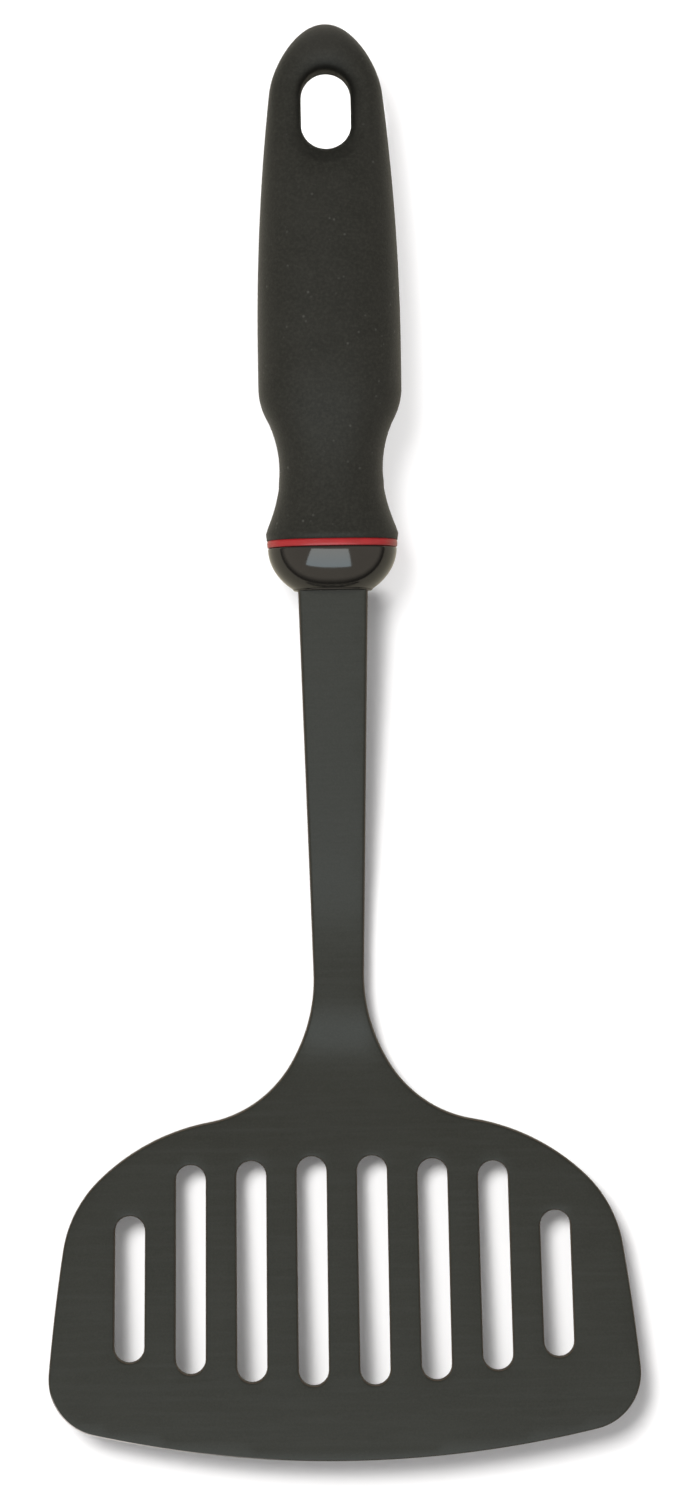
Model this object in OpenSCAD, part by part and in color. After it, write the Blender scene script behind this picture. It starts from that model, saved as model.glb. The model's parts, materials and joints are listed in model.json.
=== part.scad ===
// Wide slotted nylon turner, lying as it rests on a table.
// +Y runs to the hang end, +X across the blade, +Z up. Origin: middle of the plan, on the table.

/* [Blade] */
// Greatest width of the blade
blade_w = 128.5; // [116:0.5:134]
// Thickness of the flat part of the blade
blade_t = 2.4; // [2:0.1:3.2]
// Thickness at the front edge
edge_t = 1.2; // [0.8:0.1:1.6]

/* [Slots] */
// Width of each slot
slot_w = 6.5; // [5:0.5:7.5]
// Distance between the centre lines of neighbouring slots
slot_pitch = 13.25; // [12.8:0.05:13.4]
// Angle by which the outermost slots splay towards the front edge, in degrees
slot_splay = 1; // [0:0.25:1.5]

/* [Shank] */
// Half width of the shank where it is narrowest
shank_half = 5.5; // [5.2:0.1:6]
// Thickness of the shank at the bolster
shank_t = 9.2; // [8:0.2:10]

/* [Bolster and ring] */
// Half width of the accent ring
ring_half = 14.1; // [14:0.05:14.6]
// Length of the accent ring along the handle
ring_len = 1.6; // [1.2:0.1:2.4]

/* [Grip] */
// Half width of the grip at its fullest
grip_half = 15.5; // [15:0.1:16.5]
// Half height of the grip at its fullest
grip_high = 12.2; // [11.6:0.1:12.6]
// Thickness of the soft skin over the core
skin = 2.4; // [1.8:0.1:2.8]

/* [Hang hole] */
// Radius of each end of the hang hole
hole_r = 5.4; // [4.5:0.1:5.8]
// Distance between the two end centres of the hang hole
hole_run = 6.5; // [4:0.1:7]
// Radius of the rounded lip at each mouth
lip_r = 4; // [3:0.1:4.5]

/* [Hidden] */
$fn = 96;
black_nylon = [0.16, 0.16, 0.15];
black_gloss = [0.05, 0.05, 0.05];
red = [0.75, 0.12, 0.14];
hard_core = [0.25, 0.25, 0.25];
soft_black = [0.12, 0.12, 0.11];

// distances called f are measured along the tool from the front edge
tool_len = 311;
eps = 0.01;

// Half of the head's outline, from the middle of the front edge to the shank.
// Each row is one tangent arc: radius, turn in degrees (left is positive), steps.
outline_arcs = [
  [246.9, 12.82, 9],
  [12.3, 82.58, 9],
  [422.6, 3.62, 4],
  [26.5, 37.25, 7],
  [46.6, 33.92, 10],
  [26.2, -48.96, 12],
  [36.9, -32.62, 8]
];
nominal_half = 64.35;
nominal_shank = 5.54;
shank_grow = 0.0244;
shank_steps = 14;

function arc_step(p, r, turn) =
  let (a = p[2] + turn / 2, chord = 2 * r * sin(abs(turn) / 2))
  [p[0] + chord * cos(a), p[1] + chord * sin(a), p[2] + turn];
function arc_points(p, r, turn, n) =
  n == 0 ? [] : let (q = arc_step(p, r, turn)) concat([q], arc_points(q, r, turn, n - 1));
function chain(p, k) =
  k == len(outline_arcs) ? [] :
  let (row = outline_arcs[k], pts = arc_points(p, row[0], row[1] / row[2], row[2]))
  concat(pts, chain(pts[len(pts) - 1], k + 1));

// the blade's own width changes and the shank keeps its width
function fit_x(x, f) =
  f < 20 ? x * blade_w / 2 / nominal_half :
  shank_half + (x - nominal_shank) * (blade_w / 2 - shank_half) / (nominal_half - nominal_shank);
curve = [for (p = chain([0, 0, 0], 0)) [fit_x(p[0], p[1]), p[1]]];
neck_end = curve[len(curve) - 1];
shank_in = 190.5;
straight = [
  for (i = [1:shank_steps])
    let (f = neck_end[1] + (shank_in - neck_end[1]) * i / shank_steps)
    [neck_end[0] + (f - neck_end[1]) * shank_grow, f]
];
outline = concat(curve, straight);

// Slope of the head's middle surface, by distance from the front edge. Between rows it changes evenly.
slopes = [
  [0, -0.11],
  [12, -0.12],
  [16, -0.09],
  [60, -0.09],
  [76, -0.16],
  [84.5, -0.12],
  [89.5, 0.04],
  [92.5, 0.15],
  [96.5, 0.03],
  [100.5, -0.07],
  [107, -0.07],
  [113, 0],
  [120, 0.1],
  [126, 0.13],
  [135, 0.117],
  [shank_in, 0.107]
];
shank_z = 11.8;
function area_between(a, b) = (b - a) * (lookup(a, slopes) + lookup(b, slopes)) / 2;
// height of the middle surface, summed back from the shank's end
function mid_z(f, k = len(slopes) - 1, z = shank_z) =
  k == 0 || f >= slopes[k - 1][0] ? z - area_between(f, slopes[k][0]) :
  mid_z(f, k - 1, z - area_between(slopes[k - 1][0], slopes[k][0]));

thick = [
  [0, edge_t],
  [14, blade_t - 0.2],
  [58, blade_t],
  [74, 2.8],
  [86, 3.7],
  [96, 5.2],
  [110, shank_t - 2.6],
  [130, shank_t - 1.6],
  [shank_in, shank_t]
];

// ring of points round one cross section: a flat band with rounded corners
corner_steps = 4;
corner_r = 0.9;
function band_ring(half, t, f, z) =
  let (r = min(t * 0.46, corner_r))
  [
    for (k = [0:3], i = [0:corner_steps - 1])
      let (
        a = 90 * k + 90 * i / (corner_steps - 1),
        sx = (k == 0 || k == 3) ? 1 : -1,
        sz = (k < 2) ? 1 : -1
      )
      [sx * (half - r) + r * cos(a), f - tool_len / 2, z + sz * (t / 2 - r) + r * sin(a)]
  ];

// closed solid through a list of equal rings
module loft(rings) {
  n = len(rings[0]);
  m = len(rings);
  points = [for (r = rings) for (p = r) p];
  sides = [
    for (j = [0:m - 2], i = [0:n - 1])
      let (a = j * n + i, b = j * n + (i + 1) % n)
      [a, b, b + n, a + n]
  ];
  caps = [
    [for (i = [n - 1:-1:0]) i],
    [for (i = [0:n - 1]) (m - 1) * n + i]
  ];
  polyhedron(points, concat(caps, sides), convexity = 8);
}

module head_body() {
  loft([for (p = outline) band_ring(p[0], lookup(p[1], thick), p[1], mid_z(p[1]))]);
}

// slots: three long pairs and a short outer pair, each row is front end and rear end
slot_ends = [
  [16.2, 65.5],
  [17.1, 64.7],
  [19, 64],
  [21.7, 53.2]
];
slot_mid = 40;
blade_top = 20;
// upright prism with half-round ends, run apart along Y
module obround(r, run, z0, z1) {
  for (y = [-run / 2, run / 2])
    translate([0, y, z0])
      cylinder(r = r, h = z1 - z0);
  translate([-r, -run / 2, z0])
    cube([2 * r, run, z1 - z0]);
}
// each slot turns about a point level with the others, so their spacing there is even
module slots() {
  for (i = [0:len(slot_ends) - 1], side = [-1, 1])
    translate([side * slot_pitch * (i + 0.5), slot_mid - tool_len / 2, 0])
      rotate([0, 0, side * slot_splay * (i + 0.5) / (len(slot_ends) - 0.5)])
        translate([0, (slot_ends[i][0] + slot_ends[i][1]) / 2 - slot_mid, 0])
          obround(slot_w / 2, slot_ends[i][1] - slot_ends[i][0] - slot_w, -1, blade_top);
}

// tang: a notched bar that the core is moulded round
tang_w = 9;
tang_t = 5.6;
tang_end = 262;
notch_first = 214;
notch_pitch = 14;
notch_len = 5;
notch_depth = 1.6;
notches = 3;
module tang() {
  difference() {
    translate([-tang_w / 2, shank_in - 0.5 - tool_len / 2, shank_z - tang_t / 2])
      cube([tang_w, tang_end - shank_in + 0.5, tang_t]);
    for (i = [0:notches - 1], side = [-1, 1])
      translate([
        side * tang_w / 2 - notch_depth,
        notch_first + i * notch_pitch - tool_len / 2,
        shank_z - tang_t
      ])
        cube([2 * notch_depth, notch_len, 2 * tang_t]);
  }
}

module head() {
  color(black_nylon) {
    difference() {
      union() {
        head_body();
        tang();
      }
      slots();
    }
  }
}

// bolster and ring: oval shapes round the handle's axis, on a round spigot
oval = 0.78;
axis_z = 11.9;
ring_back = 199.3;
ring_front = ring_back - ring_len;
spigot_r = 6.6;
spigot_end = 205;
oval_power = 2.4;
function oval_part(v) = sign(v) * pow(abs(v), 2 / oval_power);
function oval_ring(n, w, h, f, z) = [
  for (i = [0:n - 1])
    let (a = 360 * i / n)
    [w * oval_part(cos(a)), f - tool_len / 2, z + h * oval_part(sin(a))]
];
collar_points = 72;
function collar_ring(half, tall, f) = oval_ring(collar_points, half, tall, f, axis_z);
module spigot(f0) {
  translate([0, f0 - tool_len / 2, axis_z])
    rotate([-90, 0, 0])
      cylinder(r = spigot_r, h = spigot_end - f0);
}

dome_half = 13.95;
dome_len = 11.4;
dome_tall = 11.15;
dome_tall_f = 199.2;
dome_tall_len = 12.7;
dome_front = 188.3;
dome_steps = 14;
function dome_x(f) = dome_half * sqrt(1 - pow((ring_front - f) / dome_len, 2));
function dome_z(f) = dome_tall * sqrt(1 - pow((dome_tall_f - f) / dome_tall_len, 2));
dome_stations = [
  for (i = [0:dome_steps]) dome_front + (ring_front - dome_front) * sin(90 * i / dome_steps)
];
module bolster() {
  color(black_gloss) {
    difference() {
      union() {
        loft([for (f = dome_stations) collar_ring(dome_x(f), dome_z(f), f)]);
        spigot(ring_front - 1);
      }
      head_body();
      tang();
    }
  }
}

ring_bulge = 0.5;
ring_steps = 10;
module accent_ring() {
  color(red) {
    difference() {
      loft([
        for (i = [0:ring_steps])
          let (a = -90 + 180 * i / ring_steps, cut = ring_bulge * (1 - cos(a)))
          collar_ring(ring_half - cut, oval * ring_half - cut, ring_front + ring_len * (1 + sin(a)) / 2)
      ]);
      spigot(ring_front - 1);
    }
  }
}

// Grip plan: body arc, shoulder arc, two waist arcs. Each row is centre across, centre along, radius.
body_r = 472;
body_f = 240.6;
shoulder = [grip_half - 14.1, 232.2, 14.1];
waist = [35.6, 214.6, 24.4];
flare = [46.8, 216.4, 35.9];
waist_from = 225.7;
flare_from = 210.5;
tip_len = 15;
// the grip's own rounded front edge, behind the ring
front_round = 3.4;
front_drop = 1.1;
function front_cut(f) =
  let (u = min(1, (f - ring_back) / front_round))
  front_drop * (1 - sqrt(1 - pow(1 - u, 2)));
function over(a, f) = a[0] + sqrt(a[2] * a[2] - pow(f - a[1], 2));
function under(a, f) = a[0] - sqrt(a[2] * a[2] - pow(f - a[1], 2));
function plan_half(f) =
  f > shoulder[1] ? grip_half - body_r + sqrt(body_r * body_r - pow(max(f - body_f, 0), 2)) :
  f > waist_from ? over(shoulder, f) :
  f > flare_from ? under(waist, f) :
  under(flare, f) - front_cut(f);

// Grip side view: half height and height of the centre line
waist_f = 213.7;
waist_high = 9.8;
front_high = 11.3;
belly_f = 238;
end_high = 5;
end_power = 1.8;
function ease(x) = x * x * (3 - 2 * x);
function side_half(f) =
  f > belly_f ?
    grip_high - (grip_high - end_high) * pow((f - belly_f) / (tool_len - belly_f), end_power) :
  f > waist_f ?
    waist_high + (grip_high - waist_high) * ease((f - waist_f) / (belly_f - waist_f)) :
  waist_high + (front_high - waist_high) * pow((waist_f - f) / (waist_f - ring_back), 2);
function grip_z(f) = axis_z + (grip_high - axis_z) * ease(min(1, max(0, (f - ring_back) / (belly_f - ring_back))));

// round off toward an end: 0 at the tip, 1 once past the length given
function tip(u, length, power) = u >= length ? 1 : sqrt(1 - pow(1 - max(u, 0) / length, power));
tip_power = 1.85;
side_tip = 7;
ring_points = 40;
body_steps = 30;
tip_steps = 8;
tip_last = 0.04;
// stations along the handle: even to where the tip starts, then closer and closer
function stations(f0, f1) = concat(
  [for (i = [0:body_steps]) f0 + (f1 - tip_len - f0) * i / body_steps],
  [for (i = [1:tip_steps]) f1 - tip_len * max(tip_last / tip_len, 1 - sin(90 * i / tip_steps))]
);
module handle_body(inset, f0, f1) {
  loft([
    for (f = stations(f0, f1))
      oval_ring(
        ring_points,
        (plan_half(f) - inset) * tip(f1 - f, tip_len, tip_power),
        (side_half(f) - inset) * tip(f1 - f, side_tip, 2),
        f,
        grip_z(f)
      )
  ]);
}

hole_f = 291.9;
eye_wall = 1.8;
hole_top = 30;
module hang_hole(r) {
  translate([0, hole_f - tool_len / 2, 0])
    obround(r, hole_run, -1, hole_top);
}

// rounded mouth of the hang hole, up = 1 for the top and -1 for the underside
lip_f = hole_f - hole_run / 2 - hole_r - 1;
lip_steps = 8;
lip_profile = concat(
  [for (i = [0:lip_steps])
    let (a = 90 * i / lip_steps)
    [hole_r + lip_r - lip_r * cos(a), lip_r * sin(a) - lip_r]
  ],
  [[hole_r + lip_r, lip_r], [0, lip_r], [0, -lip_r]]
);
module lip(up) {
  z = grip_z(lip_f) + up * side_half(lip_f);
  translate([0, hole_f - tool_len / 2, z])
    mirror([0, 0, up > 0 ? 0 : 1]) {
      for (y = [-1, 1])
        translate([0, y * hole_run / 2, 0])
          rotate_extrude()
            polygon(lip_profile);
      for (m = [0, 1])
        mirror([m, 0, 0])
          translate([0, hole_run / 2, 0])
            rotate([90, 0, 0])
              linear_extrude(hole_run)
                polygon(lip_profile);
    }
}

core_end = tool_len - 3;
module core_blank() {
  difference() {
    handle_body(skin, ring_back, core_end);
    hang_hole(hole_r + eye_wall);
  }
}

module handle_core() {
  color(hard_core) {
    difference() {
      core_blank();
      tang();
      spigot(ring_back - 1);
    }
  }
}

module grip() {
  color(soft_black) {
    difference() {
      handle_body(0, ring_back, tool_len);
      core_blank();
      hang_hole(hole_r);
      lip(1);
      lip(-1);
    }
  }
}

head();
bolster();
accent_ring();
handle_core();
grip();
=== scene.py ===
import json
import math

import bpy
from mathutils import Matrix, Vector
from mathutils.geometry import delaunay_2d_cdt

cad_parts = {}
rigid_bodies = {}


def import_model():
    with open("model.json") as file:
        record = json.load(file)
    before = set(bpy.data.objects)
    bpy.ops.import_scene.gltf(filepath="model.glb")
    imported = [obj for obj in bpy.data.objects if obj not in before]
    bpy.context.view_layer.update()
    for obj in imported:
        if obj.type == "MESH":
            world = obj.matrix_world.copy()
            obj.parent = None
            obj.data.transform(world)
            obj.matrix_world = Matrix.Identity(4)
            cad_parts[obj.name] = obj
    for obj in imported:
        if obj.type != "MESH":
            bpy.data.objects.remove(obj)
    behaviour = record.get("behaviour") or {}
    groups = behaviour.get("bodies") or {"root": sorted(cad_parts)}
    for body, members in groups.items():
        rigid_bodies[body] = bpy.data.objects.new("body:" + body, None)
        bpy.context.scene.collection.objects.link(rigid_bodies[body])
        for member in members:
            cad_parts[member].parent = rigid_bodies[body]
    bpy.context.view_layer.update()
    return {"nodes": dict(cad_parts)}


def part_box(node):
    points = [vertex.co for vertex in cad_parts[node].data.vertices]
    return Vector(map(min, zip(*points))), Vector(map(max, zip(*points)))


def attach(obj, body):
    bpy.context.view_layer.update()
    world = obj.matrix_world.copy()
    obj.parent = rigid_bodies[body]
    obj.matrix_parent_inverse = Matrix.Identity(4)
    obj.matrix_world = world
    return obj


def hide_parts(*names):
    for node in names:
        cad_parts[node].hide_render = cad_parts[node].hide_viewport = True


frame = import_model()

# ---------------------------------------------------------------- sizes
# Lengths are in millimetres until they reach a mesh, and angles in tables are in degrees.
# f is the distance from the front edge along the tool.
MM = 0.001


def box_mm(node):
    low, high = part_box(node)
    return [v / MM for v in low], [v / MM for v in high]


HEAD_LOW, HEAD_HIGH = box_mm("head")
RING_LOW, RING_HIGH = box_mm("accent_ring")
DOME_LOW, DOME_HIGH = box_mm("bolster")
GRIP_LOW, GRIP_HIGH = box_mm("grip")

HALF_LEN = GRIP_HIGH[1]
TOOL_LEN = 2 * HALF_LEN
INSET = 0.01  # keeps the finer outline inside the CAD box
BLADE_HALF = HEAD_HIGH[0] - INSET
FRONT_F = HEAD_LOW[1] + HALF_LEN + INSET
RING_BACK = RING_HIGH[1] + HALF_LEN
RING_FRONT = RING_LOW[1] + HALF_LEN
RING_HALF = RING_HIGH[0]
RING_TALL = (RING_HIGH[2] - RING_LOW[2]) / 2
AXIS_Z = (RING_HIGH[2] + RING_LOW[2]) / 2
DOME_FRONT = DOME_LOW[1] + HALF_LEN
DOME_HALF = DOME_HIGH[0]
GRIP_HALF = GRIP_HIGH[0]
GRIP_TALL = (GRIP_HIGH[2] - GRIP_LOW[2]) / 2

# Tangent arcs from the middle of the front edge to the shank: radius, turn (left is positive)
OUTLINE_ARCS = [
    (246.9, 12.82),
    (12.3, 82.58),
    (422.6, 3.62),
    (26.5, 37.25),
    (46.6, 33.92),
    (26.2, -48.96),
    (36.9, -32.62),
]
# The arcs' own half widths, which are scaled to the part's
NOMINAL_HALF = 64.35
NOMINAL_SHANK = 5.54
SHANK_HALF = 5.5
SHANK_GROW = 0.0244  # half width for each millimetre along
SHANK_IN = 192.0
CORNER_BACK = 20
ARC_STEP = 1.0
LEAST_ARC_STEPS = 3
SHANK_STEP = 2.0

# Each row of a table is f and the value there
SLOPES = [
    (0, -0.11),
    (12, -0.12),
    (16, -0.09),
    (60, -0.09),
    (76, -0.16),
    (84.5, -0.12),
    (89.5, 0.04),
    (92.5, 0.15),
    (96.5, 0.03),
    (100.5, -0.07),
    (107, -0.07),
    (113, 0.0),
    (120, 0.10),
    (126, 0.13),
    (135, 0.117),
    (SHANK_IN, 0.107),
]
SHANK_Z = 11.8
SHANK_Z_AT = 190.5
THICK = [
    (0, 1.2),
    (14, 2.2),
    (58, 2.4),
    (74, 2.8),
    (86, 3.7),
    (96, 5.2),
    (110, 6.6),
    (130, 7.6),
    (SHANK_IN, 9.2),
]
EDGE_R = [(0, 0.4), (14, 0.55), (90, 0.7), (SHANK_IN, 0.8)]
CROWN = [(0, 0), (78, 0), (100, 0.1), (SHANK_IN, 0.15)]
EASE_REACH = 4.0
EASE_STEPS = 3

SLOT_HALF = 3.25
SLOT_PITCH = 13.25
SLOT_SPLAY = 1.0
SLOT_MID = 40.0
SLOT_ENDS = [(16.2, 65.5), (17.1, 64.7), (19, 64), (21.7, 53.2)]
SLOT_EDGE = 0.55

HOLE_R = 5.4
HOLE_RUN = 6.5
HOLE_F = 291.9


def lookup(f, table):
    if f <= table[0][0]:
        return table[0][1]
    for (a, va), (b, vb) in zip(table, table[1:]):
        if f <= b:
            return va + (vb - va) * (f - a) / (b - a)
    return table[-1][1]


def smooth(f, table):
    """The table with its corners eased over a short distance."""
    n = EASE_STEPS + 1
    near = range(-EASE_STEPS, n)
    return sum(lookup(f + EASE_REACH * k / EASE_STEPS, table) * (n - abs(k)) for k in near) / n**2


def slope_area(a, b):
    """Area under the slope table between two distances."""
    total = 0.0
    stops = [a] + [f for f, _ in SLOPES if a < f < b] + [b]
    for p, q in zip(stops, stops[1:]):
        total += (q - p) * (lookup(p, SLOPES) + lookup(q, SLOPES)) / 2
    return total


def mid_z(f):
    """Height of the middle of the head's thickness."""
    if f <= SHANK_Z_AT:
        return SHANK_Z - slope_area(f, SHANK_Z_AT)
    return SHANK_Z + slope_area(SHANK_Z_AT, f)


# ---------------------------------------------------------------- mesh helpers
class Shape:
    """Collects points in millimetres and faces, then makes one smooth mesh piece."""

    def __init__(self):
        self.points = []
        self.faces = []
        # how far round a rounded edge each point is, which colours edge wear and a painted
        # highlight
        self.wear = []
        # painted shade by the hang hole, for the points that have any
        self.painted_hole_shade = {}

    def add(self, x, f, z, wear=0.0):
        self.points.append((x * MM, (f - HALF_LEN) * MM, z * MM))
        self.wear.append(wear)
        return len(self.points) - 1

    def plan(self, index):
        """A point's x and f."""
        x, y, _ = self.points[index]
        return x / MM, y / MM + HALF_LEN

    def ring(self, pts, wear=0.0):
        return [self.add(*p, wear=wear) for p in pts]

    def band(self, a, b):
        """Quads between two closed rings."""
        n = len(a)
        for i in range(n):
            j = (i + 1) % n
            self.faces.append((a[i], a[j], b[j], b[i]))

    def loft(self, rings):
        for a, b in zip(rings, rings[1:]):
            self.band(a, b)

    def piece(self, name, nodes, material):
        mesh = bpy.data.meshes.new(name)
        mesh.from_pydata(self.points, [], self.faces)
        mesh.validate()
        mesh.update()
        # each point's rounded-edge mark, and its painted shade by the hang hole (only the grip has
        # any), go to the mesh
        painted_hole_shade = [self.painted_hole_shade.get(i, 0.0) for i in range(len(self.points))]
        for label, values in (("edge_wear_and_highlight", self.wear), ("painted_hole_shade", painted_hole_shade)):
            attribute = mesh.attributes.new(label, "FLOAT", "POINT")
            attribute.data.foreach_set("value", values)
        mesh.shade_smooth()
        obj = bpy.data.objects.new(name, mesh)
        bpy.context.scene.collection.objects.link(obj)
        mesh.materials.append(material)
        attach(obj, "root")
        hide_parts(*nodes)
        return obj


INSIDE_EDGES = 1  # the triangulation keeps only what lies inside the outer loop


class Sheet:
    """A flat layout of some of a shape's points, and the edges that its triangles keep."""

    def __init__(self):
        self.coords = []
        self.ids = []
        self.edges = []

    def place(self, across, along, index):
        self.coords.append((across, along))
        self.ids.append(index)
        return len(self.ids) - 1

    def keep_loop(self, places):
        self.edges += zip(places, places[1:] + places[:1])

    def triangles(self, merge):
        """Each triangle's points in the shape, and its middle in the layout."""
        coords = [Vector(c) for c in self.coords]
        made = delaunay_2d_cdt(coords, self.edges, [], INSIDE_EDGES, merge)
        verts, faces, sources = made[0], made[2], made[3]
        for face in faces:
            row = [self.ids[sources[i][0]] for i in face]
            middle = [sum(verts[i][axis] for i in face) / len(face) for axis in (0, 1)]
            yield row, middle


# ---------------------------------------------------------------- head: blade, neck and shank
def arc_chain():
    """Right half of the outline, from the middle of the front edge to the shank."""
    x, f, heading = 0.0, FRONT_F, 0.0
    pts = [(x, f)]
    for radius, turn in OUTLINE_ARCS:
        length = radius * math.radians(abs(turn))
        steps = max(LEAST_ARC_STEPS, math.ceil(length / ARC_STEP))
        part = math.radians(turn) / steps
        chord = 2 * radius * math.sin(abs(part) / 2)
        for _ in range(steps):
            a = heading + part / 2
            x += chord * math.cos(a)
            f += chord * math.sin(a)
            heading += part
            pts.append((x, f))
    steps = round((SHANK_IN - f) / SHANK_STEP)
    f0, x0 = f, x
    for i in range(1, steps + 1):
        f = f0 + (SHANK_IN - f0) * i / steps
        pts.append((x0 + (f - f0) * SHANK_GROW, f))
    return pts


def half_outline():
    """The chain at the part's widths: the blade's in front, and the blade's and shank's behind."""
    scale = BLADE_HALF / NOMINAL_HALF
    wide = (BLADE_HALF - SHANK_HALF) / (NOMINAL_HALF - NOMINAL_SHANK)
    return [
        (x * scale if f < CORNER_BACK else SHANK_HALF + (x - NOMINAL_SHANK) * wide, f)
        for x, f in arc_chain()
    ]


HALF_OUTLINE = half_outline()
TINY = 1e-9


def head_half(f):
    """Half width of the head at f, from the outline."""
    for (xa, fa), (xb, fb) in zip(HALF_OUTLINE, HALF_OUTLINE[1:]):
        if fa <= f <= fb:
            return xa + (xb - xa) * (f - fa) / max(fb - fa, TINY)
    return HALF_OUTLINE[-1][0]


def top_z(x, f):
    half = max(head_half(f), 1.0)
    crown = smooth(f, CROWN) * (1 - min(1.0, (x / half) ** 2))
    return mid_z(f) + smooth(f, THICK) / 2 - smooth(f, CROWN) + crown


def bottom_z(x, f):
    return mid_z(f) - smooth(f, THICK) / 2


def closed_outline():
    return HALF_OUTLINE + [(-x, f) for x, f in reversed(HALF_OUTLINE[1:])]


def normals_of(loop):
    """Outward normals of a closed loop that runs anticlockwise."""
    out = []
    n = len(loop)
    for i in range(n):
        (xa, fa), (xb, fb) = loop[i - 1], loop[(i + 1) % n]
        d = math.hypot(xb - xa, fb - fa)
        out.append(((fb - fa) / d, -(xb - xa) / d))
    return out


ROUND_STEPS = 5


def edge_rings(shape, loop, outward, radius_at):
    """Rounded edge from the top face round to the bottom face. Returns its rings in that order."""
    normals = normals_of(loop)
    rings = []
    for side, surface in ((1, top_z), (-1, bottom_z)):
        rows = []
        for k in range(ROUND_STEPS + 1):
            a = math.pi / 2 * k / ROUND_STEPS
            row = []
            for (x, f), (nx, nf) in zip(loop, normals):
                r = radius_at(f)
                inset = outward * r * (1 - math.sin(a))
                ex, ef = x - nx * r * outward, f - nf * r * outward
                z = surface(ex, ef) - side * r * (1 - math.cos(a))
                row.append((x - nx * inset, f - nf * inset, z))
            # the mark for edge wear and a painted highlight grows down the rounded edge
            rows.append(shape.ring(row, wear=math.sin(a) ** 2))
        rings += rows if side > 0 else rows[::-1]
    for a, b in zip(rings, rings[1:]):
        if outward > 0:
            shape.band(b, a)
        else:
            shape.band(a, b)
    return rings


SLOT_ROUND_STEPS = 14
SLOT_LONG_SIDE = 6  # a longer gap between two points is one of the straight sides
SLOT_SIDE_STEP = 2


def slot_rounds(x, f0, f1, turn):
    """A slot's two half rounds, turned about the point where the slots are evenly spaced."""
    pts = []
    for centre, start in ((f0 + SLOT_HALF, math.pi), (f1 - SLOT_HALF, 0.0)):
        for i in range(SLOT_ROUND_STEPS + 1):
            a = start + math.pi * i / SLOT_ROUND_STEPS
            dx = SLOT_HALF * math.cos(a)
            df = centre + SLOT_HALF * math.sin(a) - SLOT_MID
            px = x + dx * math.cos(turn) - df * math.sin(turn)
            pts.append((px, SLOT_MID + dx * math.sin(turn) + df * math.cos(turn)))
    return pts


def slot_loop(x, f0, f1, turn):
    """A slot's outline, anticlockwise, with its long sides cut into short steps."""
    pts = slot_rounds(x, f0, f1, turn)
    loop = []
    for (px, pf), (qx, qf) in zip(pts, pts[1:] + pts[:1]):
        loop.append((px, pf))
        gap = abs(qf - pf)
        if gap > SLOT_LONG_SIDE:
            parts = round(gap / SLOT_SIDE_STEP)
            for k in range(1, parts):
                loop.append((px + (qx - px) * k / parts, pf + (qf - pf) * k / parts))
    return loop


def slots():
    """Place, ends and turn of each slot."""
    for i, (f0, f1) in enumerate(SLOT_ENDS):
        turn = math.radians(SLOT_SPLAY) * (i + 0.5) / (len(SLOT_ENDS) - 0.5)
        for side in (-1, 1):
            yield side * SLOT_PITCH * (i + 0.5), f0, f1, side * turn


def slot_gap(x, f):
    """Distance from a point to the nearest slot's wall, negative inside it."""
    best = math.inf
    for sx, f0, f1, turn in slots():
        dx, df = x - sx, f - SLOT_MID
        across = dx * math.cos(turn) + df * math.sin(turn)
        along = df * math.cos(turn) - dx * math.sin(turn)
        near = min(max(along, f0 + SLOT_HALF - SLOT_MID), f1 - SLOT_HALF - SLOT_MID)
        best = min(best, math.hypot(across, along - near) - SLOT_HALF)
    return best


# Spacing of the head's inner points, and how far they stay from its edges
GRID = 2.4
EDGE_ROOM = 0.9
LEAST_ROOM = 0.4
SHANK_ROWS_FROM = 100
SHANK_ROW_HALF = 2  # points on each side of the middle
SLOT_ROOM = 0.8
OUTLINE_ROOM = 1.0
HEAD_MERGE = 1e-5


def inner_points():
    """Even points inside the head, clear of its edges."""
    pts = []
    rows = round(SHANK_IN / GRID)
    for j in range(1, rows):
        f = SHANK_IN * j / rows
        room = head_half(f) - smooth(f, EDGE_R) - EDGE_ROOM
        if room < LEAST_ROOM:
            continue
        if f > SHANK_ROWS_FROM:
            count = SHANK_ROW_HALF
            pts += [(room * k / count, f) for k in range(-count, count + 1)]
            continue
        count = int(room / GRID)
        for k in range(-count, count + 1):
            x = GRID * k
            if slot_gap(x, f) > SLOT_EDGE + SLOT_ROOM:
                pts.append((x, f))
    return pts


def clear_of(x, f, loop):
    return all((x - a) ** 2 + (f - b) ** 2 > OUTLINE_ROOM**2 for a, b in loop)


def head_face(shape, loops, surface, flip):
    """The top or the bottom of the head, between its outline and the slots."""
    sheet = Sheet()
    for ring in loops:
        sheet.keep_loop([sheet.place(*shape.plan(i), i) for i in ring])
    outline = [shape.plan(i) for i in loops[0]]
    for x, f in inner_points():
        if clear_of(x, f, outline):
            sheet.place(x, f, shape.add(x, f, surface(x, f)))
    for row, middle in sheet.triangles(HEAD_MERGE):
        if slot_gap(*middle) >= SLOT_EDGE / 2:
            shape.faces.append(tuple(reversed(row)) if flip else tuple(row))


def build_head(material):
    shape = Shape()
    edges = [edge_rings(shape, closed_outline(), 1, lambda f: smooth(f, EDGE_R))]
    for slot in slots():
        edges.append(edge_rings(shape, slot_loop(*slot), -1, lambda f: SLOT_EDGE))
    head_face(shape, [rings[0] for rings in edges], top_z, False)
    head_face(shape, [rings[-1] for rings in edges], bottom_z, True)
    return shape.piece("turner_head", ["head"], material)


# ---------------------------------------------------------------- grip
BODY_R = 472.0
BODY_F = 240.6
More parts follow.
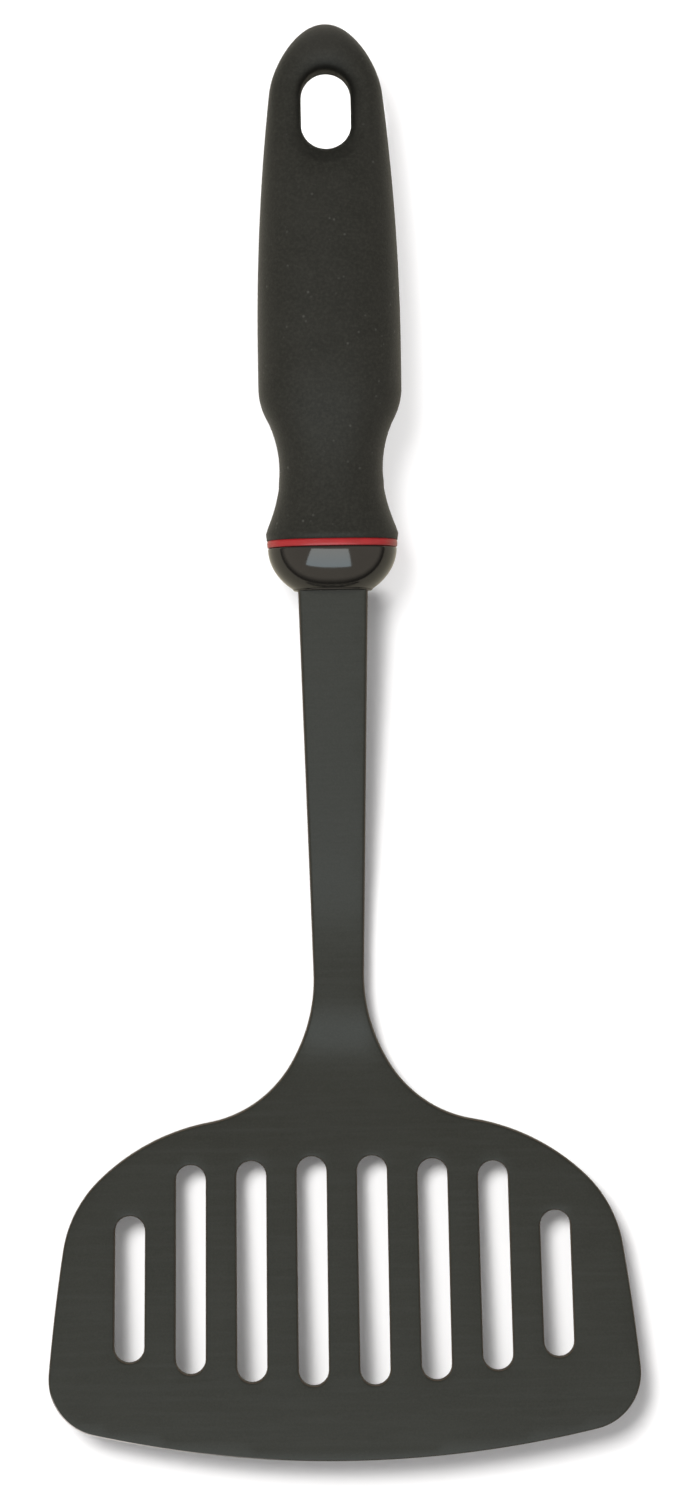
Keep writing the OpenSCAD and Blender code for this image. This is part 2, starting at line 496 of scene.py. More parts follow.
# The plan's smaller arcs: centre across, centre along, radius
SHOULDER = (GRIP_HALF - 14.1, 232.2, 14.1)
WAIST = (35.6, 214.6, 24.4)
FLARE = (46.8, 216.4, 35.9)
WAIST_FROM = 225.7
FLARE_FROM = 210.5
TIP_LEN = 15.0
TIP_POWER = 1.85
SIDE_TIP_LEN = 7.0
SIDE_TIP_POWER = 2.0
WAIST_F = 213.7
WAIST_TALL = 9.8
FRONT_TALL = 11.3
BELLY_F = 238.0
END_TALL = 5.0
END_POWER = 1.8
OVAL_POWER = 2.4
FRONT_ROUND = 3.4
FRONT_DROP = 1.1


def front_cut(f):
    """The grip's own rounded front edge, behind the ring."""
    u = min(1.0, max(0.0, (f - RING_BACK) / FRONT_ROUND))
    return FRONT_DROP * (1 - math.sqrt(1 - (1 - u) ** 2))


def plan_half(f):
    if f > SHOULDER[1]:
        return GRIP_HALF - BODY_R + math.sqrt(BODY_R**2 - max(f - BODY_F, 0) ** 2)
    if f > WAIST_FROM:
        return SHOULDER[0] + math.sqrt(SHOULDER[2] ** 2 - (f - SHOULDER[1]) ** 2)
    arc = WAIST if f > FLARE_FROM else FLARE
    return arc[0] - math.sqrt(arc[2] ** 2 - (f - arc[1]) ** 2) - front_cut(f)


def ease(x):
    x = min(1.0, max(0.0, x))
    return x * x * (3 - 2 * x)


def side_half(f):
    if f > BELLY_F:
        share = (f - BELLY_F) / (TOOL_LEN - BELLY_F)
        return GRIP_TALL - (GRIP_TALL - END_TALL) * share**END_POWER
    if f > WAIST_F:
        return WAIST_TALL + (GRIP_TALL - WAIST_TALL) * ease((f - WAIST_F) / (BELLY_F - WAIST_F))
    return WAIST_TALL + (FRONT_TALL - WAIST_TALL) * ((WAIST_F - f) / (WAIST_F - RING_BACK)) ** 2


def grip_z(f):
    return AXIS_Z + (GRIP_TALL - AXIS_Z) * ease((f - RING_BACK) / (BELLY_F - RING_BACK))


def tip(u, length, power):
    """How far the section has opened at a distance u from the tip, from 0 to 1."""
    if u >= length:
        return 1.0
    return math.sqrt(max(0.0, 1 - (1 - max(u, 0) / length) ** power))


def grip_half(f):
    return plan_half(f) * tip(TOOL_LEN - f, TIP_LEN, TIP_POWER)


def grip_tall(f):
    return side_half(f) * tip(TOOL_LEN - f, SIDE_TIP_LEN, SIDE_TIP_POWER)


def hole_gap(x, f):
    """Distance from a point in plan to the hang hole's wall."""
    near = min(max(f, HOLE_F - HOLE_RUN / 2), HOLE_F + HOLE_RUN / 2)
    return math.hypot(x, f - near) - HOLE_R


LIP = 1.5
LIP_DEPTH = 1.6
DISH = 8.0
DISH_DEPTH = 2.3
DISH_FADE = 2.2  # the larger, the further down the grip's sides the dish goes


def hole_drop(gap):
    """How far the skin sinks near the hang hole: a wide shallow dish and a tight rounded lip."""
    drop = DISH_DEPTH * max(0.0, 1 - gap / DISH) ** 2
    if gap < LIP:
        drop += LIP_DEPTH * (1 - math.sqrt(1 - (1 - max(gap, 0) / LIP) ** 2))
    return drop


def oval(v):
    """Squares up a circle's sine or cosine a little."""
    return math.copysign(abs(v) ** (2 / OVAL_POWER), v)


def grip_point(theta, f, side):
    c, s = math.cos(theta), max(0.0, math.sin(theta))
    x = grip_half(f) * oval(c)
    z = grip_tall(f) * oval(s)
    z -= hole_drop(hole_gap(x, f)) * ease(s * DISH_FADE)
    return x, f, grip_z(f) + side * z


def theta_of(x, f):
    share = min(1.0, abs(x) / grip_half(f)) ** (OVAL_POWER / 2)
    return math.acos(math.copysign(share, x))


THETA_STEPS = 72
THETA_SCALE = 10.0  # millimetres of the layout for each radian
BODY_STEP = 1.4
FINE_STEP = 0.8
FINE_FROM = 276
TIP_STEPS = 36
TIP_LAST = 0.01
HOLE_POINTS = 96
HOLE_RINGS = (0.0, 0.12, 0.3, 0.55, 0.9, 1.3, 1.8, 2.4, 3.0)  # distances from the hole's wall
HOLE_ROOM = 0.35
HOLE_LEVELS = 6
IN_HOLE = 0.01
GRIP_MERGE = 1e-6


def grip_stations():
    """Where the skin's rows are: wide steps, then fine ones by the hole, then the tip."""
    rows = [RING_BACK + BODY_STEP * i for i in range(int((FINE_FROM - RING_BACK) / BODY_STEP))]
    first = rows[-1] + BODY_STEP
    fine = int((TOOL_LEN - TIP_LEN - rows[-1]) / FINE_STEP)
    rows += [first + FINE_STEP * i for i in range(fine)]
    last = rows[-1]
    run = TOOL_LEN - TIP_LAST - last
    turns = [math.pi / 2 * i / TIP_STEPS for i in range(1, TIP_STEPS + 1)]
    return rows + [last + run * math.sin(a) for a in turns]


# Painted shade by the hang hole: the middle value, and how much more of it the hole's darkest side
# has
SHADE = (0.8, 0.2)
SHADE_REACH = (1.9, 0.9)
SHADE_POWER = 1.3
BELOW_SHADE = 0.42
BELOW_REACH = 9
BELOW_POWER = 0.7


def hole_shade(x, f, gap):
    """How much painted shade the skin gets by the hang hole: darkest at its tip end and right,
    faint below it.
    """
    far = math.hypot(x, f - HOLE_F)
    out = (x + f - HOLE_F) / far / math.sqrt(2)
    reach = SHADE_REACH[0] + SHADE_REACH[1] * out
    close = (SHADE[0] + SHADE[1] * out) * max(0.0, 1 - gap / reach) ** SHADE_POWER
    below = max(0.0, (HOLE_F - f) / far)
    faint = BELOW_SHADE * below**2 * max(0.0, 1 - gap / BELOW_REACH) ** BELOW_POWER
    return max(close, faint)


def hole_ring(gap):
    r = HOLE_R + gap
    pts = []
    half = HOLE_POINTS // 2
    for centre, start in ((HOLE_F + HOLE_RUN / 2, 0.0), (HOLE_F - HOLE_RUN / 2, math.pi)):
        for i in range(half):
            a = start + math.pi * i / (half - 1)
            pts.append((r * math.cos(a), centre + r * math.sin(a)))
    return pts


def place_grid(shape, sheet, side, stations, seam):
    """The skin's even points, clear of the hole. The two halves share the points of the seam."""
    grid = {}
    for j, f in enumerate(stations):
        for i in range(THETA_STEPS + 1):
            theta = math.pi * i / THETA_STEPS
            point = grip_point(theta, f, side)
            if hole_gap(point[0], f) < HOLE_RINGS[-1] + HOLE_ROOM:
                continue
            index = seam.get((i, j))
            if index is None:
                index = shape.add(*point)
            if i in (0, THETA_STEPS):
                seam[(i, j)] = index
            grid[(i, j)] = sheet.place(theta * THETA_SCALE, f, index)
    return grid


def grid_border(last):
    """The grid's outer places, once round."""
    border = [(i, 0) for i in range(THETA_STEPS + 1)]
    border += [(THETA_STEPS, j) for j in range(1, last + 1)]
    border += [(i, last) for i in range(THETA_STEPS - 1, -1, -1)]
    return border + [(0, j) for j in range(last - 1, 0, -1)]


def place_hole(shape, sheet, side):
    """The rings round the hang hole. Returns the points of the innermost one."""
    rings = []
    for gap in HOLE_RINGS:
        places = []
        for x, f in hole_ring(gap):
            theta = theta_of(x, f)
            index = shape.add(*grip_point(theta, f, side), wear=max(0.0, 1 - gap))
            # painted shade round the hang hole
            shape.painted_hole_shade[index] = hole_shade(x, f, gap)
            places.append(sheet.place(theta * THETA_SCALE, f, index))
        sheet.keep_loop(places)
        rings.append([sheet.ids[i] for i in places])
    return rings[0]


def grip_skin(shape, side, stations, seam):
    """The upper or lower half of the skin. Returns the points of the hang hole's edge."""
    sheet = Sheet()
    last = len(stations) - 1
    grid = place_grid(shape, sheet, side, stations, seam)
    sheet.keep_loop([grid[at] for at in grid_border(last)])
    hole_edge = place_hole(shape, sheet, side)
    for row, _ in sheet.triangles(GRIP_MERGE):
        if max(hole_gap(*shape.plan(i)) for i in row) < IN_HOLE:
            continue
        # theta runs from +X to -X, so the upper half's triangles face down until reversed
        shape.faces.append(tuple(reversed(row)) if side > 0 else tuple(row))
    # flat ends: one behind the ring, and a tiny one at the very tip
    for j, beyond, flip in ((0, 0, side < 0), (last, TIP_LAST / 2, side > 0)):
        centre = shape.add(0, stations[j] + beyond, grip_z(stations[j]))
        arc = [sheet.ids[grid[(i, j)]] for i in range(THETA_STEPS + 1)]
        for a, b in zip(arc, arc[1:]):
            shape.faces.append((b, a, centre) if flip else (a, b, centre))
    return hole_edge


def hole_wall(shape, top, bottom):
    rings = [top]
    for k in range(1, HOLE_LEVELS):
        ring = []
        for a, b in zip(top, bottom):
            high, low = shape.points[a][2], shape.points[b][2]
            z = (high + (low - high) * k / HOLE_LEVELS) / MM
            ring.append(shape.add(*shape.plan(a), z))
            # the hole's wall is painted fully in shade
            shape.painted_hole_shade[ring[-1]] = 1.0
        rings.append(ring)
    shape.loft(rings + [bottom])


def build_grip(material):
    shape = Shape()
    stations = grip_stations()
    seam = {}
    top = grip_skin(shape, 1, stations, seam)
    bottom = grip_skin(shape, -1, stations, seam)
    hole_wall(shape, top, bottom)
    return shape.piece("soft_grip", ["grip"], material)


# ---------------------------------------------------------------- bolster and ring
ROUND = 160
DOME_LEN = 11.4
DOME_TALL = 11.15
DOME_TOP_F = 199.2
DOME_TOP_LEN = 12.7
DOME_STEPS = 40
DOME_GAP = 0.3  # between the dome's full section and the ring
DOME_BACK = [(0.5, 0.0), (0.2, 0.08)]  # the step in at the ring: cut, distance forward
DOME_HOLLOW = (6.0, 5.0)
NOSE = 0.5
NOSE_STEPS = 5
NOSE_CUT = 0.45
NOSE_CUT_STEP = 0.05
NOSE_WEAR = 0.4
SOCKET_POWER = 5.0
SOCKET = [(0.02, 0.12), (1.5, 0.05)]  # distance behind the dome's front, room round the shank


def oval_points(half, tall, f):
    angles = [2 * math.pi * i / ROUND for i in range(ROUND)]
    return [(half * oval(math.cos(a)), f, AXIS_Z + tall * oval(math.sin(a))) for a in angles]


def socket_points(f, grow):
    """The shank's own section, a rounded rectangle, seen from the front."""
    half = head_half(f) + grow
    top = (top_z(0, f) - bottom_z(0, f)) / 2 + grow
    z0 = (top_z(0, f) + bottom_z(0, f)) / 2
    pts = []
    for i in range(ROUND):
        a = 2 * math.pi * i / ROUND
        c, s = math.cos(a), math.sin(a)
        k = (abs(c) ** SOCKET_POWER + abs(s) ** SOCKET_POWER) ** (-1 / SOCKET_POWER)
        pts.append((half * c * k, f, z0 + top * s * k))
    return pts


def dome_half(f):
    return DOME_HALF * math.sqrt(max(0.0, 1 - ((RING_FRONT - f) / DOME_LEN) ** 2))


def dome_tall(f):
    return DOME_TALL * math.sqrt(max(0.0, 1 - ((DOME_TOP_F - f) / DOME_TOP_LEN) ** 2))


def build_bolster(material):
    """A small step in at the ring, the dome forward to its nose, then in to the shank."""
    shape = Shape()
    edge = RING_FRONT - DOME_GAP
    nose = DOME_FRONT + NOSE
    back_tall = dome_tall(RING_FRONT)
    rings = [shape.ring(oval_points(*DOME_HOLLOW, RING_FRONT))]
    for cut, ahead in DOME_BACK:
        rings.append(shape.ring(oval_points(DOME_HALF - cut, back_tall - cut, RING_FRONT - ahead)))
    for i in range(DOME_STEPS + 1):
        f = edge - (edge - nose) * math.sin(math.pi / 2 * i / DOME_STEPS)
        rings.append(shape.ring(oval_points(dome_half(f), dome_tall(f), f)))
    for k in range(1, NOSE_STEPS + 1):
        a = math.pi / 2 * k / NOSE_STEPS
        cut = NOSE_CUT * (1 - math.cos(a)) + NOSE_CUT_STEP * k
        row = oval_points(dome_half(nose) - cut, dome_tall(nose) - cut, nose - NOSE * math.sin(a))
        rings.append(shape.ring(row, wear=NOSE_WEAR))
    for behind, grow in SOCKET:
        rings.append(shape.ring(socket_points(DOME_FRONT + behind, grow)))
    shape.loft(rings)
    return shape.piece("gloss_bolster", ["bolster"], material)


RING_BULGE = 0.45
RING_STEPS = 16
RING_HOLLOW = (7.0, 5.5)


def build_ring(material):
    shape = Shape()
    mid = (RING_BACK + RING_FRONT) / 2
    length = (RING_BACK - RING_FRONT) / 2
    rings = [shape.ring(oval_points(*RING_HOLLOW, RING_BACK))]
    for i in range(RING_STEPS + 1):
        a = math.pi / 2 - math.pi * i / RING_STEPS
        cut = RING_BULGE * (1 - math.sqrt(max(0.0, math.cos(a))))
        row = oval_points(RING_HALF - cut, RING_TALL - cut, mid + length * math.sin(a))
        rings.append(shape.ring(row))
    rings.append(shape.ring(oval_points(*RING_HOLLOW, RING_FRONT)))
    shape.loft(rings)
    return shape.piece("accent_band", ["accent_ring"], material)


# ---------------------------------------------------------------- materials
# Sockets of a Mix node in its colour mode
MIX_FACTOR = 0
MIX_A = 6
MIX_B = 7
MIX_OUT = 2


class Nodes:
    """Builds the nodes of one material. Its colours are linear."""

    def __init__(self, name):
        self.material = bpy.data.materials.new(name)
        self.material.use_nodes = True
        self.tree = self.material.node_tree
        self.shader = self.tree.nodes["Principled BSDF"]
        self.coords = self.make("ShaderNodeTexCoord").outputs["Object"]

    def make(self, kind, **inputs):
        node = self.tree.nodes.new(kind)
        for key, value in inputs.items():
            node.inputs[key.replace("_", " ")].default_value = value
        return node

    def link(self, a, b):
        self.tree.links.new(a, b)

    def noise(self, scale, detail, rough, stretch=None):
        node = self.make("ShaderNodeTexNoise", Scale=scale, Detail=detail, Roughness=rough)
        source = self.coords
        if stretch:
            mapping = self.make("ShaderNodeMapping")
            mapping.inputs["Scale"].default_value = stretch
            self.link(source, mapping.inputs["Vector"])
            source = mapping.outputs["Vector"]
        self.link(source, node.inputs["Vector"])
        return node.outputs["Fac"]

    def ramp(self, source, stops):
        node = self.make("ShaderNodeValToRGB")
        ramp = node.color_ramp
        while len(ramp.elements) < len(stops):
            ramp.elements.new(0.5)
        for element, (at, colour) in zip(ramp.elements, stops):
            element.position = at
            element.color = (*colour, 1)
        self.link(source, node.inputs["Fac"])
        return node.outputs["Color"]

    def span(self, source, start, end, low=0.0, high=1.0):
        """Runs from start to end as the source runs from low to high, and stops there."""
        limits = {"From_Min": low, "From_Max": high, "To_Min": start, "To_Max": end}
        node = self.make("ShaderNodeMapRange", **limits)
        self.link(source, node.inputs["Value"])
        return node.outputs["Result"]

    def mix(self, fac, a, b):
        node = self.make("ShaderNodeMix")
        node.data_type = "RGBA"
        for at, value in ((MIX_FACTOR, fac), (MIX_A, a), (MIX_B, b)):
            if isinstance(value, bpy.types.NodeSocket):
                self.link(value, node.inputs[at])
            else:
                node.inputs[at].default_value = (*value, 1)
        return node.outputs[MIX_OUT]

    def bump(self, source, strength, distance, under=None):
        node = self.make("ShaderNodeBump", Strength=strength, Distance=distance)
        self.link(source, node.inputs["Height"])
        if under:
            self.link(under, node.inputs["Normal"])
        return node.outputs["Normal"]

    def attribute(self, name):
        node = self.make("ShaderNodeAttribute")
        node.attribute_name = name
        return node.outputs["Fac"]

    def axis(self, name):
        """One of the object's own coordinates, in metres."""
        node = self.make("ShaderNodeSeparateXYZ")
        self.link(self.coords, node.inputs[0])
        return node.outputs[name]

    def times(self, *sources):
        total = sources[0]
        for source in sources[1:]:
            node = self.make("ShaderNodeMath")
            node.operation = "MULTIPLY"
            self.link(total, node.inputs[0])
            self.link(source, node.inputs[1])
            total = node.outputs[0]
        return total

    def set(self, **values):
        for key, value in values.items():
            socket = self.shader.inputs[key.replace("_", " ")]
            if isinstance(value, bpy.types.NodeSocket):
                self.link(value, socket)
            else:
                socket.default_value = (*value, 1) if isinstance(value, tuple) else value


NYLON = [(0.3, (0.0122, 0.0136, 0.0110)), (0.7, (0.0157, 0.0172, 0.0141))]
NYLON_GRAIN = (0.026, 0.026, 0.022)
NYLON_FLOW = (0.0278, 0.0292, 0.0262)
NYLON_SPECULAR = 0.25
ALONG_X = (0.06, 1.0, 1.0)
# Wear and a painted highlight colour the rounded edges lighter brown, most a little past halfway
# down, and hardly the side walls
RIM = [(0.3, (0.0,) * 3), (0.65, (0.8,) * 3), (0.97, (0.05,) * 3)]
RIM_WEAR_AND_HIGHLIGHT = (0.095, 0.069, 0.050)
# painted highlight on one front corner's rim: its place across and along, where on the rounded
# edge, and its colour
FRONT_HIGHLIGHT_X = (-0.048, -0.012)
FRONT_HIGHLIGHT_Y = (-0.146, -0.140)
FRONT_HIGHLIGHT_ALONG_RIM = (0.12, 0.3)
FRONT_HIGHLIGHT_COLOUR = (0.62, 0.58, 0.55)


def nylon():
    n = Nodes("black_nylon")
    cloud = n.noise(scale=45, detail=4, rough=0.6)
    grain = n.noise(scale=2600, detail=2, rough=0.6)
    flow = n.noise(scale=800, detail=3, rough=0.6, stretch=ALONG_X)
    base = n.ramp(cloud, NYLON)
    tint = n.mix(n.span(grain, 0.0, 0.5, low=0.35, high=0.75), base, NYLON_GRAIN)
    tint = n.mix(n.span(flow, 0.0, 0.4, low=0.45, high=0.8), tint, NYLON_FLOW)
    # edge wear and a painted highlight on the rounded edges
    worn_and_lit = n.mix(n.ramp(n.attribute("edge_wear_and_highlight"), RIM), tint, RIM_WEAR_AND_HIGHLIGHT)
    # painted highlight: one front corner's rim is painted pale, where the edge catches the light
    front_highlight = n.times(
        n.span(n.attribute("edge_wear_and_highlight"), 0.0, 1.0, *FRONT_HIGHLIGHT_ALONG_RIM),
        n.span(n.axis("X"), 1.0, 0.0, *FRONT_HIGHLIGHT_X),
        n.span(n.axis("Y"), 1.0, 0.0, *FRONT_HIGHLIGHT_Y),
    )
    rough = n.span(flow, 0.38, 0.45, low=0.3, high=0.7)
    n.set(Base_Color=n.mix(front_highlight, worn_and_lit, FRONT_HIGHLIGHT_COLOUR), Roughness=rough)
    n.set(Specular_IOR_Level=NYLON_SPECULAR)
    fine = n.bump(grain, strength=0.35, distance=0.00004)
    n.set(Normal=n.bump(flow, strength=0.12, distance=0.0001, under=fine))
    return n.material


SKIN = [(0.3, (0.0094, 0.0098, 0.0080)), (0.7, (0.0136, 0.0138, 0.0116))]
SKIN_MOTTLE = (0.028, 0.028, 0.023)
# painted highlight on the grip's tip: where along it starts and ends, and its colour
TIP_HIGHLIGHT_SPAN = (0.1455, 0.1555)
TIP_HIGHLIGHT_COLOUR = (0.030, 0.029, 0.026)
SPECK_SCALE = 420.0
SPECK_COLOUR = (0.062, 0.062, 0.056)
# painted shade on the hang hole's wall and in the dark ring beside it
PAINTED_HOLE_SHADE_COLOUR = (0.0045, 0.0045, 0.004)
SHEEN = (0.9, 0.88, 0.8)
SHEEN_ROUGH = 0.5


def soft_skin():
    n = Nodes("soft_grip")
    cloud = n.noise(scale=160, detail=5, rough=0.7)
    mottle = n.noise(scale=1500, detail=3, rough=0.65)
    grain = n.noise(scale=2400, detail=2, rough=0.6)
    base = n.ramp(cloud, SKIN)
    base = n.mix(n.span(mottle, 0.0, 0.45, low=0.42, high=0.68), base, SKIN_MOTTLE)
    # painted highlight: the grip's tip is painted lighter
    base = n.mix(n.span(n.axis("Y"), 0.0, 0.7, *TIP_HIGHLIGHT_SPAN), base, TIP_HIGHLIGHT_COLOUR)
    # specks of dust, in some places only
    speck = n.make("ShaderNodeTexVoronoi", Scale=SPECK_SCALE)
    n.link(n.coords, speck.inputs["Vector"])
    dust = n.span(speck.outputs["Distance"], 0.6, 0.0, low=0.06, high=0.16)
    some = n.span(n.noise(scale=300, detail=1, rough=0.5), 0.0, 1.0, low=0.50, high=0.60)
    dusty = n.mix(n.times(dust, some), base, SPECK_COLOUR)
    # painted shade: the skin is painted dark, with less specular and sheen, on the hang hole's
    # wall and beside the hole
    painted_hole_shade = n.attribute("painted_hole_shade")
    rough = n.span(grain, 0.50, 0.62, low=0.3, high=0.7)
    n.set(Base_Color=n.mix(painted_hole_shade, dusty, PAINTED_HOLE_SHADE_COLOUR), Roughness=rough)
    n.set(Specular_IOR_Level=n.span(painted_hole_shade, 0.24, 0.03))
    n.set(Sheen_Weight=n.span(painted_hole_shade, 0.07, 0.0), Sheen_Roughness=SHEEN_ROUGH, Sheen_Tint=SHEEN)
    under = n.bump(mottle, strength=0.4, distance=0.00006)
    n.set(Normal=n.bump(grain, strength=0.5, distance=0.00005, under=under))
    return n.material


GLOSS = [(0.35, (0.010, 0.009, 0.008)), (0.7, (0.014, 0.013, 0.011))]
ACROSS_Y = (1.0, 6.0, 1.0)


def gloss_black():
    n = Nodes("gloss_black")
    smear = n.noise(scale=90, detail=4, rough=0.6)
    scratch = n.noise(scale=900, detail=2, rough=0.5, stretch=ACROSS_Y)
    rough = n.span(smear, 0.05, 0.11, low=0.3, high=0.7)
    n.set(Base_Color=n.ramp(smear, GLOSS), Roughness=rough)
    n.set(Normal=n.bump(scratch, strength=0.05, distance=0.00001))
    return n.material


RED = [(0.3, (0.27, 0.009, 0.012)), (0.7, (0.32, 0.012, 0.016))]


def red_plastic():
    n = Nodes("red_plastic")
    cloud = n.noise(scale=300, detail=3, rough=0.6)
    rough = n.span(cloud, 0.3, 0.42, low=0.3, high=0.7)
    n.set(Base_Color=n.ramp(cloud, RED), Roughness=rough)
    grain = n.noise(scale=2500, detail=2, rough=0.5)
    n.set(Normal=n.bump(grain, strength=0.15, distance=0.00002))
    return n.material


CORE = [(0.3, (0.05, 0.05, 0.05)), (0.7, (0.07, 0.07, 0.07))]


def hard_core():
    n = Nodes("hard_core")
    cloud = n.noise(scale=70, detail=3, rough=0.6)
    rough = n.span(cloud, 0.4, 0.55, low=0.3, high=0.7)
    n.set(Base_Color=n.ramp(cloud, CORE), Roughness=rough)
    grain = n.noise(scale=1500, detail=2, rough=0.5)
    n.set(Normal=n.bump(grain, strength=0.2, distance=0.00003))
    return n.material


PAPER = [(0.3, (0.97, 0.97, 0.97)), (0.7, (0.985, 0.985, 0.985))]
TABLE_IN_GLOSS = (0.63, 0.59, 0.47)
PAPER_ROUGH = 0.9


def floor_white():
    n = Nodes("floor_white")
    paper = n.ramp(n.noise(scale=3, detail=2, rough=0.5), PAPER)
    # the gloss mirrors a warmer, darker table than the paper that the camera sees
    rays = n.make("ShaderNodeLightPath")
    n.set(Base_Color=n.mix(rays.outputs["Is Glossy Ray"], paper, TABLE_IN_GLOSS))
    n.set(Roughness=PAPER_ROUGH, Specular_IOR_Level=0.0)
    return n.material


# ---------------------------------------------------------------- stage, in metres and degrees
FLOOR_HALF = 4.0


def build_floor(material):
    mesh = bpy.data.meshes.new("floor")
    signs = [(-1, -1), (1, -1), (1, 1), (-1, 1)]
    corners = [(FLOOR_HALF * x, FLOOR_HALF * y, 0) for x, y in signs]
    mesh.from_pydata(corners, [], [(0, 1, 2, 3)])
    mesh.materials.append(material)
    obj = bpy.data.objects.new("floor", mesh)
    bpy.context.scene.collection.objects.link(obj)
    return obj


class Panel:
    """A flat light that faces the tool's middle from one azimuth and angle off the zenith."""

    def __init__(self, azimuth, off_zenith, distance):
        a, z = math.radians(azimuth), math.radians(off_zenith)
        self.out = Vector((math.sin(z) * math.cos(a), math.sin(z) * math.sin(a), math.cos(z)))
        self.down = Vector((math.cos(z) * math.cos(a), math.cos(z) * math.sin(a), -math.sin(z)))
        self.side = self.down.cross(self.out)
        self.distance = distance
        self.off_zenith = off_zenith

    def light(self, name, near, far, width, power, colour, glossy=True, diffuse=True):
        """The strip between two angles off the zenith. Power is for each square metre."""
        edges = [math.radians(v - self.off_zenith) for v in (near, far)]
        low, high = (self.distance * math.tan(v) for v in edges)
        data = bpy.data.lights.new(name, "AREA")
        data.shape = "RECTANGLE"
        data.size, data.size_y = width, high - low
        data.energy = power * data.size * data.size_y
        data.color = colour
        obj = bpy.data.objects.new(name, data)
        obj.location = self.out * self.distance + self.down * (low + high) / 2
        obj.rotation_euler = Matrix((self.side, self.down, self.out)).transposed().to_euler()
        obj.visible_glossy = glossy
        obj.visible_diffuse = diffuse
        bpy.context.scene.collection.objects.link(obj)
        return obj


KEY_PLACE = (127, 26.5, 3.0)  # azimuth, angle off the zenith, distance
KEY_NEAR = 17.5  # the strip's edges, as angles off the zenith
KEY_FAR = 36
KEY_WIDTH = 0.95
KEY_COLOUR = (1.0, 0.99, 0.985)
KEY_POWER = 37.5
KEY_SOFT_POWER = 53.0
KEY_OPEN_POWER = 6.0


def group_of(name, obj):
    """A collection with one object in it, for light linking."""
    group = bpy.data.collections.new(name)
    group.objects.link(obj)
    return group


def build_keys(head, floor):
    """Three keys in one place, which light the floor and cast the shadow.

    Everything blocks the first. Only the head blocks the second, so that the handle's shadow
    stays faint. Nothing on the tool blocks the third, so that no shadow is deep.
    """
    place = Panel(*KEY_PLACE)
    for name, power, blocker in (
        ("key", KEY_POWER, None),
        ("key_soft", KEY_SOFT_POWER, head),
        ("key_open", KEY_OPEN_POWER, floor),
    ):
        key = place.light(name, KEY_NEAR, KEY_FAR, KEY_WIDTH, power, KEY_COLOUR, glossy=False)
        if blocker:
            key.light_linking.blocker_collection = group_of(name + "_blockers", blocker)


CAMERA_AT = (0.00047, -0.0016)
CAMERA_HIGH = 0.9
FRAME_TALL = 0.32547  # height of the frame, at the height FRAME_AT above the table
FRAME_AT = 0.010
SENSOR = 36
ROLL = -0.865

HOLE_LAMP_HIGH = 0.6
HOLE_LAMP_POWER = 9.0
HOLE_LAMP_REACH = 0.013
HOLE_LAMP_BLEND = 0.2
HOLE_LAMP_SOFT = 0.002


def build_hole_lamp(floor):
    """A narrow spot through the hang hole, along the camera's line, that only the floor gets."""
    hole_y = (HOLE_F - HALF_LEN) * MM
    lean = math.atan(hole_y / CAMERA_HIGH)
    data = bpy.data.lights.new("through_hole", "SPOT")
    data.energy = HOLE_LAMP_POWER
    data.spot_size = 2 * math.atan(HOLE_LAMP_REACH / HOLE_LAMP_HIGH)
    data.spot_blend = HOLE_LAMP_BLEND
    data.shadow_soft_size = HOLE_LAMP_SOFT
    obj = bpy.data.objects.new("through_hole", data)
    obj.location = (0, hole_y - HOLE_LAMP_HIGH * math.tan(lean), HOLE_LAMP_HIGH)
    obj.rotation_euler = (lean, 0, 0)
    obj.visible_glossy = False
    bpy.context.scene.collection.objects.link(obj)
    obj.light_linking.receiver_collection = group_of("hole_receivers", floor)


WINDOW_DISTANCE = 1.6
WINDOW_PLACE = (267, 31, WINDOW_DISTANCE)
WINDOW_STRIPS = 7
WINDOW_NEAR = 13.9
WINDOW_FAR = 48.4
WINDOW_POWER = 11.2
# The value at the near strip and the change to the far one. Widths and shifts are for each metre
# of the window's distance.
WINDOW_WIDTH = (0.605, 0.16)
WINDOW_SHIFT = (0.045, 0.016)
WINDOW_TINT = ((0.90, -0.18), (0.97, -0.07), (0.98, 0.02))


def build_window():
    """Strips that only the gloss mirrors. They get wider and bluer away from the zenith."""
    window = Panel(*WINDOW_PLACE)
    run = WINDOW_FAR - WINDOW_NEAR
    for k in range(WINDOW_STRIPS):
        share = k / (WINDOW_STRIPS - 1)
        near = WINDOW_NEAR + run * k / WINDOW_STRIPS
        far = WINDOW_NEAR + run * (k + 1) / WINDOW_STRIPS
        tint = tuple(start + change * share for start, change in WINDOW_TINT)
        width = (WINDOW_WIDTH[0] + WINDOW_WIDTH[1] * share) * WINDOW_DISTANCE
        shift = (WINDOW_SHIFT[0] + WINDOW_SHIFT[1] * share) * WINDOW_DISTANCE
        strip = window.light(f"window_{k}", near, far, width, WINDOW_POWER, tint, diffuse=False)
        strip.location += window.side * shift


FILL_COLOUR = (1.0, 0.985, 0.99)
FILL = 0.415
ROOM = 0.96
# Colours of the room by height, and how it dims beyond the hang end
ROOM_BY_Z = [(0.09, (0.06, 0.055, 0.05)), (0.29, (1.0, 0.90, 0.76))]
ROOM_BY_Y = [(0.12, (1.0, 1.0, 1.0)), (0.7, (0.4, 0.4, 0.4))]


def world_ramp(tree, source, stops):
    node = tree.nodes.new("ShaderNodeValToRGB")
    for element, (at, colour) in zip(node.color_ramp.elements, stops):
        element.position = at
        element.color = (*colour, 1)
    tree.links.new(source, node.inputs["Fac"])
    return node.outputs["Color"]


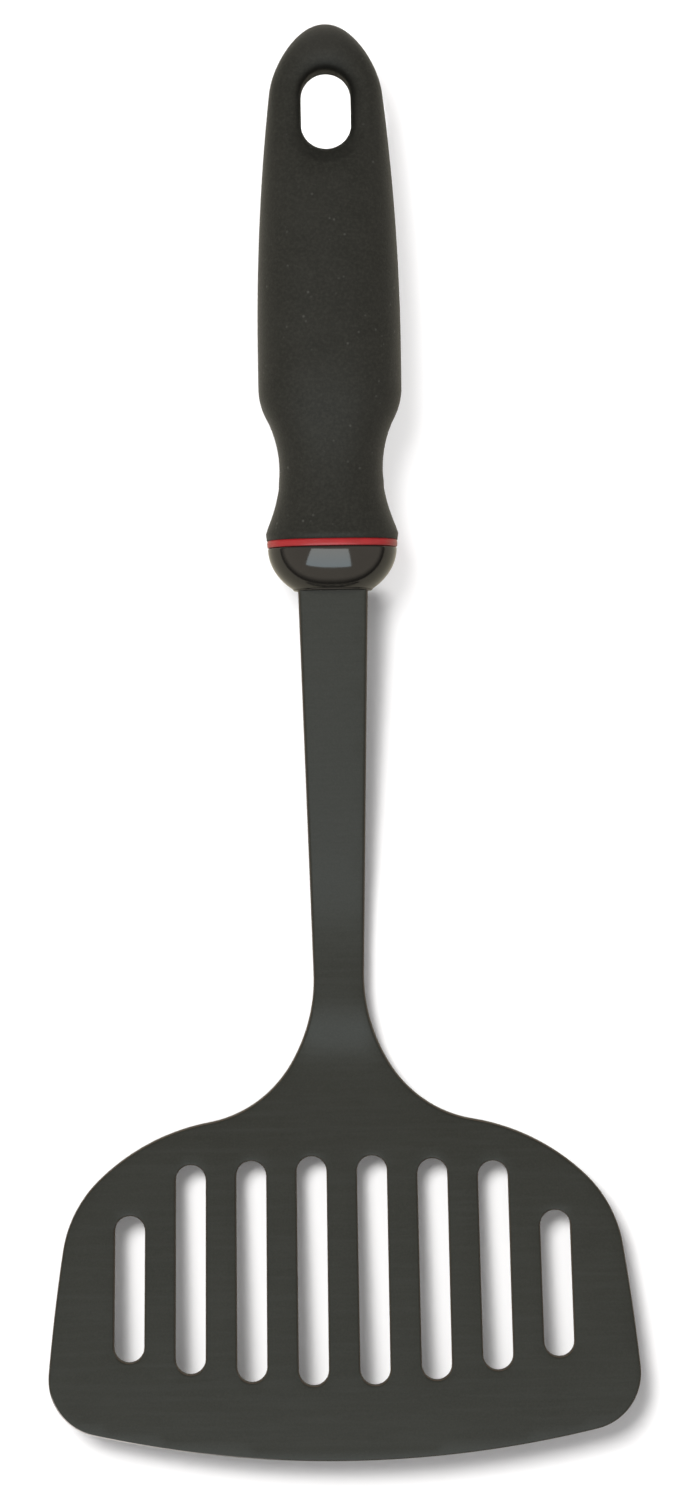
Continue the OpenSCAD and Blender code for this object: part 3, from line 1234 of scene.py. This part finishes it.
def build_world():
    """Even fill light, and a warm room with a dark skirting for glossy surfaces to mirror."""
    world = bpy.data.worlds.new("studio")
    bpy.context.scene.world = world
    world.use_nodes = True
    tree = world.node_tree
    fill = tree.nodes["Background"]
    fill.inputs["Color"].default_value = (*FILL_COLOUR, 1)
    fill.inputs["Strength"].default_value = FILL
    room = tree.nodes.new("ShaderNodeBackground")
    room.inputs["Strength"].default_value = ROOM
    coords = tree.nodes.new("ShaderNodeTexCoord")
    split = tree.nodes.new("ShaderNodeSeparateXYZ")
    tree.links.new(coords.outputs["Generated"], split.inputs[0])
    both = tree.nodes.new("ShaderNodeMix")
    both.data_type = "RGBA"
    both.blend_type = "MULTIPLY"
    both.inputs[MIX_FACTOR].default_value = 1.0
    tree.links.new(world_ramp(tree, split.outputs["Z"], ROOM_BY_Z), both.inputs[MIX_A])
    tree.links.new(world_ramp(tree, split.outputs["Y"], ROOM_BY_Y), both.inputs[MIX_B])
    tree.links.new(both.outputs[MIX_OUT], room.inputs["Color"])
    rays = tree.nodes.new("ShaderNodeLightPath")
    mix = tree.nodes.new("ShaderNodeMixShader")
    tree.links.new(rays.outputs["Is Glossy Ray"], mix.inputs["Fac"])
    tree.links.new(fill.outputs[0], mix.inputs[1])
    tree.links.new(room.outputs[0], mix.inputs[2])
    tree.links.new(mix.outputs[0], tree.nodes["World Output"].inputs["Surface"])


def build_camera():
    """Looks straight down, rolled a little."""
    data = bpy.data.cameras.new("camera")
    data.sensor_width = SENSOR
    data.lens = SENSOR * (CAMERA_HIGH - FRAME_AT) / FRAME_TALL
    obj = bpy.data.objects.new("camera", data)
    obj.location = (*CAMERA_AT, CAMERA_HIGH)
    obj.rotation_euler = (0, 0, math.radians(ROLL))
    bpy.context.scene.collection.objects.link(obj)
    bpy.context.scene.camera = obj


head = build_head(nylon())
build_grip(soft_skin())
build_bolster(gloss_black())
build_ring(red_plastic())
core = frame["nodes"]["handle_core"]
core.data.materials.clear()
core.data.materials.append(hard_core())
floor = build_floor(floor_white())
build_keys(head, floor)
build_hole_lamp(floor)
build_window()
build_world()
build_camera()
bpy.context.scene.view_settings.view_transform = "Standard"
